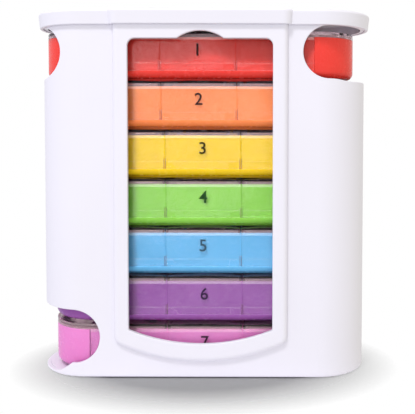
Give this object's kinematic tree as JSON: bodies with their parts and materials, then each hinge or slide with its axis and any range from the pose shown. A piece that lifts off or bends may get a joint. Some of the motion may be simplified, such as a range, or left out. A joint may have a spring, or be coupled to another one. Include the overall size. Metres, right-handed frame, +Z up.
{
  "type": "weekly pill box tower",
  "caption": "Free-standing tower that holds a stack of slide-out day boxes, each with lidded pill compartments, seen through a front window.",
  "frame": {"origin": "centre of the outer box, on the plane the feet stand on", "axes": "+Z up, +X along the day boxes to the loading opening, -Y out of the window"},
  "size_m": [0.1602, 0.0542, 0.17],
  "materials": {
    "tower_white": "satin moulded",
    "foot_rubber": "soft, pale grey",
    "lid_clear": "clear, polished",
    "tray_red": "tinted, slightly translucent",
    "tray_orange": "tinted, slightly translucent",
    "tray_yellow": "tinted, slightly translucent",
    "tray_green": "tinted, slightly translucent",
    "tray_light_blue": "tinted, slightly translucent",
    "tray_purple": "tinted, slightly translucent",
    "tray_pink": "tinted, slightly translucent"
  },
  "bodies": {
    "tower": {"housing_front": "tower_white", "housing_rear": "tower_white", "base_plate": "tower_white", "feet": "foot_rubber", "cap": "tower_white"},
    "day_1": {"day_1_tray": "tray_red"},
    "day_2": {"day_2_tray": "tray_orange", "day_2_lid_left": "lid_clear", "day_2_lid_middle": "lid_clear", "day_2_lid_right": "lid_clear"},
    "day_3": {"day_3_tray": "tray_yellow", "day_3_lid_left": "lid_clear", "day_3_lid_middle": "lid_clear", "day_3_lid_right": "lid_clear"},
    "day_4": {"day_4_tray": "tray_green", "day_4_lid_left": "lid_clear", "day_4_lid_middle": "lid_clear", "day_4_lid_right": "lid_clear"},
    "day_5": {"day_5_tray": "tray_light_blue", "day_5_lid_left": "lid_clear", "day_5_lid_middle": "lid_clear", "day_5_lid_right": "lid_clear"},
    "day_6": {"day_6_tray": "tray_purple", "day_6_lid_left": "lid_clear", "day_6_lid_middle": "lid_clear", "day_6_lid_right": "lid_clear"},
    "day_7": {"day_7_tray": "tray_pink", "day_7_lid_left": "lid_clear", "day_7_lid_middle": "lid_clear", "day_7_lid_right": "lid_clear"},
    "day_1_left_lid": {"day_1_lid_left": "lid_clear"},
    "day_1_middle_lid": {"day_1_lid_middle": "lid_clear"},
    "day_1_right_lid": {"day_1_lid_right": "lid_clear"}
  },
  "joints": [
    {"name": "day_1_slide", "type": "slide", "parent": "tower", "child": "day_1", "axis": [1, 0, 0], "range_m": [0, 0.16]},
    {"name": "day_2_slide", "type": "slide", "parent": "tower", "child": "day_2", "axis": [1, 0, 0], "range_m": [-0.00052, 0.00298]},
    {"name": "day_3_slide", "type": "slide", "parent": "tower", "child": "day_3", "axis": [1, 0, 0], "range_m": [-0.00228, 0.00122]},
    {"name": "day_4_slide", "type": "slide", "parent": "tower", "child": "day_4", "axis": [1, 0, 0], "range_m": [-0.00263, 0.00088]},
    {"name": "day_5_slide", "type": "slide", "parent": "tower", "child": "day_5", "axis": [1, 0, 0], "range_m": [-0.00245, 0.00105]},
    {"name": "day_6_slide", "type": "slide", "parent": "tower", "child": "day_6", "axis": [1, 0, 0], "range_m": [-0.00306, 0.00044]},
    {"name": "day_7_slide", "type": "slide", "parent": "tower", "child": "day_7", "axis": [-1, 0, 0], "range_m": [0, 0.16]},
    {"name": "day_1_left_lid_hinge", "type": "hinge", "parent": "day_1", "child": "day_1_left_lid", "pos_m": [-0.00175, 0.01995, 0.15955], "axis": [-1, 0, 0], "range_deg": [0, 4]},
    {"name": "day_1_middle_lid_hinge", "type": "hinge", "parent": "day_1", "child": "day_1_middle_lid", "pos_m": [-0.00175, 0.01995, 0.15955], "axis": [-1, 0, 0], "range_deg": [0, 10]},
    {"name": "day_1_right_lid_hinge", "type": "hinge", "parent": "day_1", "child": "day_1_right_lid", "pos_m": [-0.00175, 0.01995, 0.15955], "axis": [-1, 0, 0], "range_deg": [0, 4]}
  ]
}
